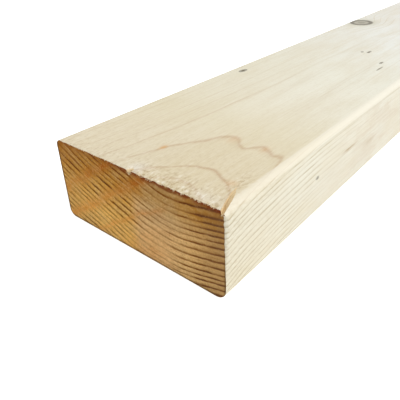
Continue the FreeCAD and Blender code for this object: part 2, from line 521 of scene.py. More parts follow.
def end_points(grid, first_free, ring_start):
    """Index of every grid point, and for each one within the border how deep it is sunk and its place."""
    index = np.zeros(grid.shape[:2], dtype=int)
    inner = []
    for column in range(wide_cells + 1):
        for row in range(narrow_cells + 1):
            if 0 < column < wide_cells and 0 < row < narrow_cells:
                index[column, row] = first_free + len(inner)
                across, up = grid[column, row]
                inner.append((saw_unevenness(across, up), across, up))
            else:
                index[column, row] = ring_start + border_index(column, row)
    return index, np.array(inner)


spots = np.empty((len(stations), around, 3))
spots[:, :, 0] = placed_stations[:, None]
spots[:, :, 1:] = sections
spots = spots.reshape(-1, 3)
last_ring = (len(stations) - 1) * around
near_index, near_inner = end_points(near_grid, len(spots), 0)
far_index, far_inner = end_points(far_grid, len(spots) + len(near_inner), last_ring)
near_inner[:, 0] = saw_allowance + near_inner[:, 0]
far_inner[:, 0] = board_length - saw_allowance - far_inner[:, 0]
spots = np.concatenate([spots, near_inner, far_inner])

faces = []
face_kinds = []
planed_kind, sawn_kind, floor_kind, fresh_kind = range(4)


def long_face_kind(step, point, chip_reach=4, chip_depth=0.4):
    """What the surface is between two stations: planed, the floor of the tear, or freshly torn."""
    if stations[step] < tear_tip and lip_column <= point < lip_column + 3:
        return fresh_kind if point == lip_column else floor_kind
    sunk = thickness - sections[step, point, 1] > chip_depth
    return fresh_kind if sunk and stations[step] < chip_reach and point < lip_column else planed_kind


for step in range(len(stations) - 1):
    here, there = step * around, (step + 1) * around
    for point in range(around):
        following = (point + 1) % around
        faces.append((here + point, here + following, there + following, there + point))
        face_kinds.append(long_face_kind(step, point))
for column in range(wide_cells):
    for row in range(narrow_cells):
        near = near_index[column : column + 2, row : row + 2]
        faces.append((near[0, 0], near[0, 1], near[1, 1], near[1, 0]))
        face_kinds.append(sawn_kind)
        far = far_index[column : column + 2, row : row + 2]
        faces.append((far[0, 0], far[1, 0], far[1, 1], far[0, 1]))
        face_kinds.append(sawn_kind)
print(len(spots), "points and", len(faces), "faces in the board")

# %% [markdown]
# Here and there the wood is browner, and on the ends the blade scorched some patches and wiped the lines
# off others. Near the end two spots on top are painted paler: painted highlights, where raised fibres catch
# the light. Noise can't be told where to be dark, so these are soft spots, each given by its middle, its
# reach and its strength. Below 0, a tint paints a highlight and a scorch fades the lines.

# %% Tints of the wood
tints_and_highlights = (
    ((21.6, 2.8, 38), (1.7, 1.0, 3), 0.95),
    ((43.5, -15, 38), (3.5, 2.2, 3), 0.22),
    ((44, -30, 38), (3, 1.8, 3), 0.25),
    # painted highlights: the next two spots are paler where raised fibres catch the light
    ((3.5, -1, 38), (3.5, 3.0, 3), -0.45),
    ((3, -34, 38), (3, 6, 2), -0.25),
    ((15.5, -35.2, 38), (1.7, 2.2, 2), 0.35),
    ((91.5, -44.4, 22.9), (2.6, 5, 0.7), 0.9),
    ((97, -44.4, 23.3), (5.5, 5, 0.6), 0.7),
    ((121, -44.4, 17.3), (6, 5, 1.4), 0.35),
)


scorched = (
    ((8, 20.5), (5.5, 3.5), 0.9),
    ((25, 21), (5, 4), 0.55),
    ((17, 26.5), (6, 3), 0.5),
    ((36, 28.5), (6, 4), 0.45),
    ((7, 33), (7, 3), 0.3),
    ((2, 15), (5, 2.5), 0.3),
    ((13, 15), (4, 3), 0.25),
    ((-8, 8), (15, 8), -0.45),
    ((-42, 22), (8, 40), 0.8),
    ((-33, 6), (10, 6), 0.5),
    ((-35, 34), (8, 4), 0.6),
    ((-10, 29), (7, 4), -0.6),
    ((-18, 26), (7, 5), -0.6),
    ((-24, 20), (6, 3), -0.35),
    ((38, 19), (6, 3), -0.4),
    ((21, 9), (6, 5), -0.35),
    ((36, 7), (6, 5), -0.3),
)


def soft_spots(spots, *point):
    """The spots' strengths at a point, added up. Each fades evenly from its middle."""
    total = 0
    for middle, reach, strength in spots:
        total = total + strength * np.exp(-(reaches_away(point, middle, reach) ** 2))
    return total


print(len(tints_and_highlights), "tints and", len(scorched), "scorched or washed-out patches")

# %% [markdown]
# How clearly the lines show, how frayed the fibres are and how the corners were rubbed all differ from
# place to place too. Each is a small function of the place, so that it can be tried out by itself.

# %% Wear of the wood
def line_strength(along, across, up, flat):
    """How clearly the latewood lines show on a planed face: best near the end, and on the arches."""
    on_side = np.interp(along, (0, 40, 75, 100, 140, 400), (1.5, 1.25, 0.8, 0.45, 0.25, 0.3))
    on_side *= 1 - 0.7 * np.clip((along - 40) / 30, 0, 1) * np.clip((23 - up) / 6, 0, 1)
    on_top = np.interp(along, (0, 80, 200), (0.5, 0.45, 0.2))
    on_top *= np.interp(across, (-5, 12, 20, 32), (0.5, 1, 1, 0.6))
    arches = np.clip((58 - along) / 10, 0, 1) * np.clip((9 - across) / 6, 0, 1)
    on_top += (0.9 - on_top) * arches
    for knot in knots:
        away = knot_distance(knot, along, across, thickness)
        on_top += 0.7 * np.exp(-(((away - 2.1) / 1.1) ** 2))
    return on_side + flat * (on_top - on_side)


def fray(along, across, flat):
    """How fuzzy the top is: the saw lifted its fibres in front of the notch and round the tear."""
    near_end = np.clip(1.15 - along / 10, 0, 1) * np.clip((5 - across) / 5, 0.25, 1)
    round_tear = np.exp(-(reaches_away((along, across), (17, -36.5), (6, 2.8)) ** 2))
    return np.maximum(near_end, 0.8 * round_tear) * (0.12 + 0.88 * flat)


def arris_highlight_and_shade(direction):
    """Painted light on the eased top corners: 1 for the front highlight, below 0 for painted shade."""
    turn = np.degrees(np.arctan2(direction[:, 1], direction[:, 0])) % 360
    marks = (20, 40, 75, 88, 91, 97, 136, 145, 153, 163, 175)
    return np.interp(turn, marks, (0, -0.7, -0.7, 0, 0, 1, 1, 0.4, -0.7, -0.15, 0))


def pin_nearness(along, across, up):
    """1 on and round the pin knots, 0 elsewhere."""
    nearest = np.min([reaches_away((along, across, up), *pin) for pin in pin_knots], axis=0)
    return np.clip(3 - nearest, 0, 1)


print("lines at the near end, on the front edge and on top:", *line_strength(0, -44, 20, np.array([0, 1])))

# %% [markdown]
# Every point of the mesh remembers which ring it lies in, how near a knot or a pin knot it is, how warm
# the wood is there or how much highlight is painted on it, whether it is on a wide face, how clear the
# lines are, how much highlight or shade is painted on its eased corner, and how frayed it is. Blender calls
# such a remembered value an attribute, and the finish can read it. This is what ties the end, the top and
# the side together: they all look up the same rings.

# %% Remember the wood
def remember_wood(mesh, places, direction):
    """Stores what the finishes ask for on a mesh, from its points' places and outward directions."""
    along, across, up = places.T
    on_end = np.abs(direction).sum(axis=1) == 0
    flat = np.clip((np.abs(direction[:, 1]) - 0.5) / 0.3, 0, 1)
    end_lines = np.clip(1 + soft_spots(scorched, across, up), 0, None)
    values = {
        "ring": ring_number(along, across, up),
        "knot": knot_heart(along, across, up),
        "pin": pin_nearness(along, across, up),
        "warmth_and_highlight": soft_spots(tints_and_highlights, along, across, up),
        "flat": flat,
        "lines": np.where(on_end, end_lines, line_strength(along, across, up, flat)),
        "painted_arris_light": arris_highlight_and_shade(direction),
        "fray": fray(along, across, flat),
    }
    for name, value in values.items():
        mesh.attributes.new(name, "FLOAT", "POINT").data.foreach_set("value", value.astype(np.float32))


def in_frame(places):
    """From millimetres counted from the near end to the frame's metres."""
    return (np.asarray(places) + (low_x, 0, low_z)) * MM


print("the near end stands at", in_frame((0, 0, 0)).round(4), "in the frame")

# %% [markdown]
# Now the lists become a mesh. The long faces are shaded smoothly, as they are round at the corners, but
# wherever two kinds of face meet, the edge between them stays crisp. Splitting the mesh there would do
# the same, and leave it open.

# %% The board's mesh
board_mesh = bpy.data.meshes.new("board_of_softwood")
board_mesh.from_pydata(in_frame(spots).tolist(), [], faces)
board_mesh.validate()
spot_directions = np.zeros((len(spots), 2))
spot_directions[: len(stations) * around] = directions.reshape(-1, 2)
remember_wood(board_mesh, spots, spot_directions)
board_mesh.polygons.foreach_set("material_index", np.array(face_kinds, dtype=np.int32))
board_mesh.polygons.foreach_set("use_smooth", np.ones(len(faces), dtype=bool))


def crisp_edges(mesh):
    """Marks the edges between differently finished faces as crisp, and counts them."""
    kinds = {}
    for polygon in mesh.polygons:
        for edge in polygon.edge_keys:
            kinds.setdefault(edge, set()).add(polygon.material_index)
    crisp = [len(kinds.get(tuple(sorted(edge.vertices)), ())) > 1 for edge in mesh.edges]
    mesh.edges.foreach_set("use_edge_sharp", np.array(crisp, dtype=bool))
    return sum(crisp)


print(crisp_edges(board_mesh), "crisp edges;", len(board_mesh.polygons), "faces kept after validation")

# %% [markdown]
# The finish can be baked to a picture for other programs. A board is 27 times as long as it is wide, so
# an even map would spend nearly all its room on clear wood. This map unrolls the outline across its
# width, gives the near end far more room than the middle, and keeps a corner for each sawn end.

# %% Lay out the baking map
map_marks = (0, 16, 60, 130, 400, board_length - 40, board_length)
map_rows = (0.0, 0.10, 0.24, 0.34, 0.50, 0.80, 0.84)
edge_lengths = np.linalg.norm(np.roll(outline, -1, axis=0) - outline, axis=1)
span = np.concatenate([[0], np.cumsum(edge_lengths)])
margin = 0.004
unrolled = margin + (1 - 2 * margin) * span / span[-1]


def lay_out_map(mesh, places):
    """Writes the baking map of the board."""
    layer = mesh.uv_layers.new(name="OFBake")
    corner_points = np.empty(len(mesh.loops), dtype=np.int32)
    mesh.loops.foreach_get("vertex_index", corner_points)
    marks = np.empty((len(mesh.loops), 2))
    for polygon in mesh.polygons:
        corners = slice(polygon.loop_start, polygon.loop_start + polygon.loop_total)
        points = corner_points[corners]
        if polygon.material_index == sawn_kind:
            near = places[points[0], 0] < board_length / 2
            shift = margin if near else 0.5 + margin
            marks[corners, 0] = shift + 0.46 * (places[points, 1] + half_width) / (2 * half_width)
            marks[corners, 1] = 0.845 + 0.15 * places[points, 2] / thickness
        else:
            turn = unrolled[points % around]
            if turn.max() - turn.min() > 0.5:
                turn = np.where(turn < 0.5, unrolled[-1], turn)
            marks[corners, 0] = turn
            marks[corners, 1] = 0.002 + 0.99 * np.interp(stations[points // around], map_marks, map_rows)
    layer.data.foreach_set("uv", marks.astype(np.float32).ravel())


lay_out_map(board_mesh, spots)
print("the near 16 mm have", map_rows[1], "of the map's height")

# %% [markdown]
# A finish in Blender is a small network of nodes. To keep each recipe short, this helper puts down one
# node at a time and hands back its output. Colours are written as they look on a screen, from 0 to 255,
# and turned into the light values that the renderer works with.

# %% A helper for mixing finishes
def seen(red, green, blue):
    """A colour as it looks on screen, as the renderer's light values."""
    parts = np.array((red, green, blue)) / 255
    return (*np.where(parts <= 0.04045, parts / 12.92, ((parts + 0.055) / 1.055) ** 2.4).tolist(), 1)


class Finish:
    """A finish being mixed. Each method puts down a node or two and returns an output."""

    def __init__(self, name):
        self.material = bpy.data.materials.new(name)
        self.material.use_nodes = True
        self.tree = self.material.node_tree
        self.shader = self.tree.nodes["Principled BSDF"]

    def put(self, kind, inputs, **settings):
        """One node with its settings, and its inputs set or joined."""
        node = self.tree.nodes.new(kind)
        for name, value in settings.items():
            setattr(node, name, value)
        for socket, value in inputs.items():
            if isinstance(value, bpy.types.NodeSocket):
                self.tree.links.new(value, node.inputs[socket])
            else:
                node.inputs[socket].default_value = value
        return node

    def remembered(self, name):
        """A value that the mesh's points remember."""
        return self.put("ShaderNodeAttribute", {}, attribute_name=name).outputs["Fac"]

    def places(self):
        """Where a point of the surface is, in the board's own space, in metres."""
        return self.put("ShaderNodeTexCoord", {}).outputs["Object"]

    def place_parts(self):
        """A point's distance from the near end, its place across and its height, in metres."""
        parts = self.put("ShaderNodeSeparateXYZ", {"Vector": self.places()}).outputs
        return self.work("SUBTRACT", parts["X"], low_x * MM), parts["Y"], parts["Z"]

    def cloud(self, scale, detail=2.0, roughness=0.5, turn=(0, 0, 0), where=None):
        """Soft random variation between 0 and 1, finer along the directions with a larger scale."""
        inputs = {"Vector": where or self.places(), "Scale": scale, "Rotation": turn}
        squeezed = self.put("ShaderNodeMapping", inputs).outputs["Vector"]
        inputs = {"Vector": squeezed, "Scale": 1.0, "Detail": detail, "Roughness": roughness}
        return self.put("ShaderNodeTexNoise", inputs).outputs["Fac"]

    def work(self, operation, *values, clamp=False):
        """One sum on numbers."""
        inputs = dict(enumerate(values))
        return self.put("ShaderNodeMath", inputs, operation=operation, use_clamp=clamp).outputs[0]

    def times(self, total, *others):
        """The product of several numbers."""
        for other in others:
            total = self.work("MULTIPLY", total, other)
        return total

    def plus(self, total, *others):
        """Several numbers added up."""
        for other in others:
            total = self.work("ADD", total, other)
        return total

    def graded(self, value, from_low, from_high, to_low=0.0, to_high=1.0, smooth=True):
        """A value carried from one range to another, and held at its ends."""
        kind = "SMOOTHSTEP" if smooth else "LINEAR"
        inputs = {0: value, 1: from_low, 2: from_high, 3: to_low, 4: to_high}
        return self.put("ShaderNodeMapRange", inputs, interpolation_type=kind).outputs[0]

    def shades(self, value, stops):
        """A run of greys (place, grey) or of colours (place, red, green, blue), with places from 0 to 1."""
        node = self.put("ShaderNodeValToRGB", {"Fac": value})
        ramp = node.color_ramp
        while len(ramp.elements) < len(stops):
            ramp.elements.new(0.5)
        for element, (place, *shade) in zip(ramp.elements, stops):
            element.position = place
            element.color = seen(*shade) if len(shade) == 3 else (shade[0], shade[0], shade[0], 1)
        return node.outputs["Color"]

    def blend(self, share, first, second):
        """Two colours mixed, by a share that is held between 0 and 1."""
        inputs = {0: share, 6: first, 7: second}
        inputs.update({place: seen(*side) for place, side in inputs.items() if isinstance(side, tuple)})
        return self.put("ShaderNodeMix", inputs, data_type="RGBA", clamp_factor=True).outputs[2]

    def coats(self, colour, *laid):
        """Thin coats laid over a colour one after another, each with its share and its own colour."""
        for share, coat in laid:
            colour = self.blend(share, colour, coat)
        return colour

    def finish(self, colour, roughness, height, depth, specular):
        """Joins the recipe to its shader. The surface looks raised where the height is greater."""
        relief = self.put("ShaderNodeBump", {"Height": height, "Distance": depth, "Strength": 1.0})
        self.tree.links.new(colour, self.shader.inputs["Base Color"])
        self.tree.links.new(roughness, self.shader.inputs["Roughness"])
        self.tree.links.new(relief.outputs["Normal"], self.shader.inputs["Normal"])
        self.shader.inputs["Specular IOR Level"].default_value = specular
        print("finish:", self.material.name, "with", len(self.tree.nodes), "nodes")
        return self.material


# %% [markdown]
# Within each ring the wood is pale at first and darkens until the year stops growing, and then the next
# ring starts pale at once. The dark part is called latewood. The recipe takes what is left after the
# whole rings are counted, and grades it from pale to dark. Where a face cuts the rings squarely the lines
# are broad, and where it skims along them, as the wide faces do, only the thin dark edge of each one
# shows. A little noise keeps any line from being ruled.

# %% Latewood lines
broad_line = ((0.0, 0.90), (0.05, 0.3), (0.10, 0.0), (0.55, 0.03), (0.80, 0.28), (0.92, 0.85), (1.0, 1.0))
crisp_line = ((0.0, 0.95), (0.08, 0.35), (0.15, 0.0), (0.50, 0.05), (0.74, 0.32), (0.86, 0.88), (1.0, 1.0))
thin_line = ((0.0, 1.0), (0.025, 0.5), (0.06, 0.0), (0.88, 0.0), (0.95, 0.30), (0.98, 0.95), (1.0, 1.0))


def ring_count(wood, waver, grain):
    """The part of a ring that a point has passed, with a little noise, and a number that differs by year."""
    wobble = wood.times(wood.work("SUBTRACT", wood.cloud(grain, 3.0, 0.6), 0.5), 2 * waver)
    count = wood.plus(wood.remembered("ring"), wobble)
    whole = wood.work("FLOOR", wood.plus(count, 0.5))
    year = wood.put("ShaderNodeTexWhiteNoise", {"W": whole}, noise_dimensions="1D")
    return wood.work("FRACT", count), year.outputs["Value"]


# %% [markdown]
# The planed faces are pale cream, a little browner near the sawn end and paler further along. One even
# colour would be simpler, but it would look like plastic, so a run of colours follows the length of the
# board, and soft patches warm it here and there.

# %% The colour of the planed faces
run_length = 0.4
top_run = (
    (0.0, 226, 213, 183),
    (0.06, 229, 217, 188),
    (0.14, 233, 224, 196),
    (0.23, 239, 234, 214),
    (0.38, 240, 238, 222),
    (0.60, 242, 243, 236),
    (1.0, 242, 244, 244),
)
side_run = (
    (0.0, 233, 227, 205),
    (0.05, 234, 228, 207),
    (0.12, 235, 231, 213),
    (0.30, 232, 228, 212),
    (1.0, 230, 226, 211),
)


def planed_wood(wood, along, across, up, flat):
    """The colour between the lines, on the wide faces and on the narrow ones."""
    run = wood.times(along, 1 / run_length)
    behind = wood.times(wood.graded(across, -0.02, 0.04), wood.graded(along, 0.03, 0.06), 0.22)
    in_front = wood.times(wood.graded(across, 0.002, -0.012), wood.graded(along, 0.10, 0.0), 0.22)
    # painted shade: the narrow face is painted darker low down near the floor, from 30 mm in
    painted_floor_shade = wood.times(wood.graded(up, 0.026, 0.018), wood.graded(along, 0.03, 0.07), 0.28)
    wide = wood.coats(
        wood.shades(run, top_run),
        (wood.graded(along, 0.36, 0.75, 0.0, 0.85), (233, 225, 200)),
        (behind, (206, 190, 146)),
        (in_front, (214, 192, 138)),
    )
    narrow = wood.coats(wood.shades(run, side_run), (painted_floor_shade, (212, 203, 183)))
    return wood.blend(flat, narrow, wide)


print("the colours of the first", run_length, "m have", len(top_run), "stops on top")

# %% [markdown]
# The latewood lines are faint here, because the planer cut the fibres lengthwise. Each year's line has a
# strength of its own, and on the narrow faces the lines are broken into runs. Where the saw frayed the
# top they blur.

# %% Lines on the planed faces
def planed_lines(wood, colour, along, flat):
    """Latewood lines laid over a colour. Returns the new colour, and how dark the lines are."""
    part, year = ring_count(wood, 0.06, (25, 420, 420))
    broad = wood.shades(part, broad_line)
    whole_fibres = wood.graded(wood.remembered("fray"), 0.05, 0.6, 1.0, 0.15)
    dark = wood.blend(flat, broad, wood.blend(whole_fibres, broad, wood.shades(part, thin_line)))
    broken = wood.graded(wood.cloud((70, 420, 420), 3.0, 0.6), 0.34, 0.60, 0.45, 1.15)
    strength = wood.times(
        wood.remembered("lines"),
        wood.graded(year, 0, 1, 0.65, 1.1, smooth=False),
        wood.blend(flat, broken, (255, 255, 255)),
    )
    top_line = wood.blend(wood.graded(along, 0.06, 0.15), (202, 174, 138), (208, 196, 166))
    line_colour = wood.blend(flat, (194, 182, 150), top_line)
    return wood.blend(wood.times(dark, strength), colour, line_colour), dark


# %% [markdown]
# Over the rings lie mottling, fine streaks of fibre and, near the saw cut, fuzz: pale fibre tips with small
# painted shadows between them. All are noise stretched along the grain. The eased front corner is painted
# paler than the faces beside it, a painted highlight, and the back corner and a thin line under the front
# one are painted darker, a painted shade.

# %% Fibres on the planed faces
def planed_fibres(wood, colour, along, flat):
    """Fibres, fuzz, tints and the eased corners' painted light laid over a colour. Returns the new colour,
    and the finest fibres.
    """
    mottle = wood.cloud((26, 90, 90), 4.0, 0.6)
    blotches = wood.cloud((45, 170, 170), 3.0, 0.6)
    streaks = wood.cloud((7, 1300, 1300), 4.0, 0.65)
    fibres = wood.cloud((60, 3000, 3000), 2.0, 0.6)
    fuzz = wood.cloud((420, 900, 900), 3.0, 0.7)
    far_on_a_side = wood.times(wood.graded(along, 0.06, 0.12), wood.graded(flat, 0.5, 0.0))
    frayed = wood.work("ADD", wood.graded(along, 0.0, 0.06, 0.24, 0.10), wood.remembered("fray"), clamp=True)
    warmth_and_highlight, painted_arris_light = wood.remembered("warmth_and_highlight"), wood.remembered("painted_arris_light")
    colour = wood.coats(
        colour,
        (wood.graded(mottle, 0.35, 0.70, 0.0, 0.28), (218, 203, 168)),
        (wood.times(wood.graded(blotches, 0.48, 0.62, 0.0, 0.42), far_on_a_side), (214, 200, 176)),
        (wood.graded(streaks, 0.48, 0.78, 0.0, 0.26), (204, 184, 144)),
        (wood.graded(fibres, 0.28, 0.58, 0.20, 0.0), (252, 248, 236)),
        # painted shade: dark flecks between the raised fibres; the pale flecks below are the fibre tips
        (wood.times(wood.graded(fuzz, 0.48, 0.66, 0.0, 0.62), frayed), (170, 140, 88)),
        (wood.times(wood.graded(fuzz, 0.32, 0.47, 0.60, 0.0), frayed), (252, 246, 230)),
        (warmth_and_highlight, wood.blend(flat, (178, 152, 108), (218, 166, 104))),
        # painted highlight: below 0 the tint paints the top paler, where raised fibres catch the light
        (wood.times(warmth_and_highlight, -1.0), (246, 243, 234)),
        # painted highlight on the front eased corner, and painted shade on the back one and under the
        # highlight
        (wood.times(painted_arris_light, 0.62), (242, 236, 219)),
        (wood.times(painted_arris_light, -0.5), (196, 184, 158)),
    )
    return colour, fibres


# %% [markdown]
# A knot has fine rings of its own, a dark rim and a pale halo. A pin knot is only its dark middle. Last
# comes the ripple of the planer's knives, too shallow to see except where light grazes it.

# %% The planed finish
knife_spacing = 0.0024


def knots_over(wood, colour):
    """Knots laid over a colour."""
    heart = wood.remembered("knot")
    turns = wood.work("SINE", wood.times(wood.work("LOGARITHM", heart, 2.718), 9.0))
    knot = wood.coats(
        wood.blend(wood.graded(turns, -1, 1), (158, 152, 136), (182, 176, 160)),
        (wood.graded(heart, 0.57, 0.47), (124, 118, 104)),
        (wood.graded(heart, 0.84, 0.98, 0.0, 0.6), (132, 122, 98)),
    )
    pin_core = wood.times(wood.graded(heart, 0.80, 0.95), wood.graded(wood.remembered("pin"), 0.4, 0.6))
    return wood.coats(
        colour,
        (wood.graded(heart, 0.12, 0.36, 0.0, 0.50), (200, 196, 172)),
        (wood.graded(heart, 0.33, 0.40, 0.0, 0.95), knot),
        (pin_core, (112, 102, 80)),
    )


def planed_finish():
    """Pale softwood, cut along the grain."""
    wood = Finish("planed_softwood")
    along, across, up = wood.place_parts()
    flat = wood.remembered("flat")
    colour, dark = planed_lines(wood, planed_wood(wood, along, across, up, flat), along, flat)
    colour, fibres = planed_fibres(wood, colour, along, flat)
    knives = wood.work("SINE", wood.times(along, 2 * math.pi / knife_spacing))
    height = wood.plus(wood.times(dark, 0.35), wood.times(fibres, 0.5), wood.times(knives, 0.06))
    rough = wood.graded(fibres, 0.3, 0.7, 0.52, 0.68)
    return wood.finish(knots_over(wood, colour), rough, height, depth=0.00006, specular=0.28)


planed = planed_finish()

# %% [markdown]
# Sawn across, the wood shows the open ends of its fibres. They swallow light, so the same pale wood turns
# a deep orange brown. The saw also smeared the face in slanting bands, where the colour is more orange.
# The bands are a run of greys across a slanting measure, because noise alone would not give them their
# common direction.

# %% The colour of the sawn ends
smear_bands = ((0.0, 0.4), (0.10, 0.3), (0.19, 0.0), (0.25, 0.2), (0.28, 0.75), (0.32, 0.0), (0.42, 0.0))
smear_bands += ((0.46, 0.3), (0.51, 1.0), (0.56, 0.4), (0.60, 0.0), (0.68, 0.15), (0.74, 1.0), (0.79, 0.3))
smear_bands += ((0.85, 0.0), (0.95, 0.3))
# The end's colours run with height: painted brighter low down, where the floor bounces light onto the end,
# and darker towards the top, a painted shade. The smears follow the same painted gradient.
end_colour_and_painted_bounce = (
    (0.0, 255, 208, 118),
    (0.35, 254, 202, 108),
    (0.60, 234, 180, 86),
    (0.80, 204, 146, 54),
    (1.0, 182, 126, 46),
)
smear_colour_and_painted_bounce = ((0.2, 240, 164, 76), (0.9, 176, 98, 20))


def saw_smears(wood, across, up):
    """Slanting bands where the saw smeared the face, and the measure across them."""
    drift = wood.times(wood.work("SUBTRACT", wood.cloud((90, 90, 90)), 0.5), 0.005)
    slant = wood.plus(wood.times(across, 0.574), wood.times(up, 0.819), drift)
    smear = wood.shades(wood.times(slant, 20.0), smear_bands)
    return wood.times(smear, wood.graded(across, -0.024, -0.008)), slant


def end_wood(wood, across, up, smear):
    """The colour between the lines, orange in the smears, with painted bounce light below and painted shade
    towards the top.
    """
    lift = wood.work("DIVIDE", up, high_z * MM)
    middle = wood.times(wood.graded(across, -0.040, -0.012, 0.5, 1.0), wood.graded(across, 0.004, -0.004))
    middle = wood.times(middle, wood.graded(up, 0.032, 0.022), 0.6)
    haze = wood.times(wood.graded(across, -0.032, -0.020), wood.graded(across, -0.002, -0.010))
    haze = wood.times(haze, wood.graded(up, 0.016, 0.026), 0.45)
    patches = wood.cloud((90, 160, 240), 4.0, 0.65, (0.6, 0, 0))
    orange = wood.times(smear, wood.graded(patches, 0.35, 0.60, 1.0, 0.60))
    within = {"X": wood.times(wood.remembered("ring"), 3.4), "Y": wood.times(across, 70)}
    within_rings = wood.put("ShaderNodeCombineXYZ", within).outputs[0]
    threads = wood.cloud((1, 1, 1), 3.0, 0.6, where=within_rings)
    return wood.coats(
        wood.shades(lift, end_colour_and_painted_bounce),
        (middle, (238, 202, 158)),
        (wood.graded(patches, 0.42, 0.66, 0.0, 0.35), (214, 180, 122)),
        (haze, (190, 164, 118)),
        (orange, wood.shades(lift, smear_colour_and_painted_bounce)),
        (wood.graded(threads, 0.50, 0.70, 0.0, 0.45), (160, 106, 44)),
        (wood.graded(threads, 0.30, 0.46, 0.35, 0.0), (252, 214, 146)),
    )


print("the saw smeared the ends in", sum(grey > 0.7 for place, grey in smear_bands), "strong bands")

# %% [markdown]
# On the end the latewood turns nearly to chocolate, except in the smears, where the lines are blurred
# away. A dark thread runs round the rim, partly saw burn and partly painted shade, and under the top face
# the torn edge is painted red-brown, a painted shade beneath the overhanging tufts.

# %% The sawn finish
score_spacing = 0.0031


def end_lines(wood, colour, smear):
    """Latewood lines laid over the end. Returns the new colour, and how dark the lines are."""
    part, year = ring_count(wood, 0.10, (500, 300, 300))
    dark = wood.shades(part, crisp_line)
    patchy = wood.cloud((90, 100, 300), turn=(0.35, 0, 0))
    strength = wood.times(
        wood.graded(year, 0, 1, 0.7, 1.0, smooth=False),
        wood.graded(smear, 0, 1, 1.0, 0.16),
        wood.graded(patchy, 0.3, 0.62, 0.5, 1.1),
        1.12,
        wood.remembered("lines"),
    )
    shown = wood.times(dark, strength)
    deeper = wood.graded(shown, 0.80, 1.5, 0.0, 0.9)
    return wood.coats(colour, (shown, (124, 68, 2)), (deeper, (84, 36, 0))), dark


def end_rim(wood, colour, across, up):
    """Painted shade on the sides of the end and under the tufts of its torn upper edge, and its dark rim,
    partly saw burn and partly painted shade, laid over a colour.
    """
    # painted shade: a red-brown band under the top edge, where overhanging tufts shade the torn grain
    painted_shade_under_tufts = wood.times(
        wood.graded(wood.work("SUBTRACT", high_z * MM, up), 0.0006, 0.0030, 1.0, 0.0),
        wood.graded(across, 0.004, 0.014, 1.0, 0.4),
        wood.graded(wood.cloud((60, 330, 330)), 0.32, 0.55, 0.35, 1.0),
        0.95,
    )
    from_side = wood.work("SUBTRACT", half_width * MM, wood.work("ABSOLUTE", across))
    return wood.coats(
        colour,
        # painted shade: the end is painted darker towards its front and back sides
        (wood.graded(across, -0.0435, -0.022, 0.50, 0.0), (134, 96, 60)),
        (wood.graded(across, 0.022, 0.040, 0.0, 0.14), (130, 76, 18)),
        (painted_shade_under_tufts, (124, 52, 16)),
        # the dark rim round the sides and bottom: partly saw burn, partly painted shade
        (wood.graded(wood.work("MINIMUM", from_side, up), 0.0002, 0.0014, 0.75, 0.0), (96, 66, 28)),
    )


def sawn_finish():
    """Softwood cut across the grain."""
    wood = Finish("sawn_end_grain")
    _, across, up = wood.place_parts()
    smear, slant = saw_smears(wood, across, up)
    colour, dark = end_lines(wood, end_wood(wood, across, up, smear), smear)
    specks = wood.cloud((400, 1300, 1300), 3.0, 0.7)
    colour = wood.coats(
        colour,
        (wood.graded(specks, 0.42, 0.72, 0.0, 0.40), (140, 92, 34)),
        (wood.graded(specks, 0.28, 0.45, 0.30, 0.0), (252, 216, 150)),
    )
    scores = wood.work("SINE", wood.times(slant, 2 * math.pi / score_spacing))
    height = wood.plus(wood.times(dark, 0.5), wood.times(specks, 0.9), wood.times(scores, 0.18))
    rough = wood.graded(specks, 0.3, 0.7, 0.78, 0.92)
    return wood.finish(end_rim(wood, colour, across, up), rough, height, depth=0.00020, specular=0.1)


sawn = sawn_finish()

# %% [markdown]
# Torn wood was never cut by anything, so it is fresh, rough and a shade browner than the planed face. It
# fills the trough of the tear and the chips, and the loose fibres are made of it.

# %% Torn wood
def torn_finish(name, light, deep):
    """Fresh wood that was pulled apart along its fibres."""
    wood = Finish(name)
    fibres = wood.cloud((120, 2600, 2600), 3.0, 0.65)
    mottle = wood.graded(wood.cloud((420, 420, 420)), 0.4, 0.7, 0.0, 0.35)
    colour = wood.coats(light, (wood.graded(fibres, 0.30, 0.70), deep), (mottle, deep))
    rough = wood.graded(fibres, 0.3, 0.7, 0.75, 0.92)
    return wood.finish(colour, rough, fibres, depth=0.00025, specular=0.2)


torn_surface = torn_finish("torn_softwood", (236, 214, 172), (218, 188, 138))
loose_fibre = torn_finish("loose_fibre", (238, 220, 182), (220, 192, 146))

# %% [markdown]
# With its finishes, the dressed board takes the constructed one's place. It rides on the same body, so it
# goes wherever that one goes.

# %% Put the finishes on the board
for finish in (planed, sawn, torn_surface, loose_fibre):
    board_mesh.materials.append(finish)

board = bpy.data.objects.new("softwood_board", board_mesh)
bpy.context.scene.collection.objects.link(board)
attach(board, "root")
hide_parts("board")
print("the board stands for the constructed one")

# %% [markdown]
# Along the ragged edge more than a hundred fibres stick out. Hair curves could make them, but a hair has
# no end grain and does not export well. Each fibre here is a thin splinter: a three-sided spike, thick
# where it grows from the wood and pointed where it broke, bent a little on the way.

# %% Splinters
def splinter(root, tip, thick, wide, droop):
    """Points and faces of one three-sided spike that bends downwards, in millimetres."""
    root, tip = np.array(root, float), np.array(tip, float)
    run = tip - root
    side = np.cross(run, (0, 0, 1))
    side /= max(np.linalg.norm(side), 1e-6)
    rise = np.cross(side, run)
    rise /= max(np.linalg.norm(rise), 1e-6)
    points = []
    for part, share in ((0.0, 1.0), (0.4, 0.85), (0.75, 0.5)):
        middle = root + run * part - np.array((0, 0, droop * part**2))
        for turn in np.radians((90, 210, 330)):
            spread = side * math.cos(turn) * wide + rise * math.sin(turn) * thick
            points.append(middle + spread * share / 2)
    points.append(tip - np.array((0, 0, droop)))
    spike = [(2, 1, 0)]
    for ring in (0, 3):
        for corner in range(3):
            following = (corner + 1) % 3
            spike.append((ring + corner, ring + following, ring + 3 + following, ring + 3 + corner))
    spike += [(6, 7, 9), (7, 8, 9), (8, 6, 9)]
    return points, spike


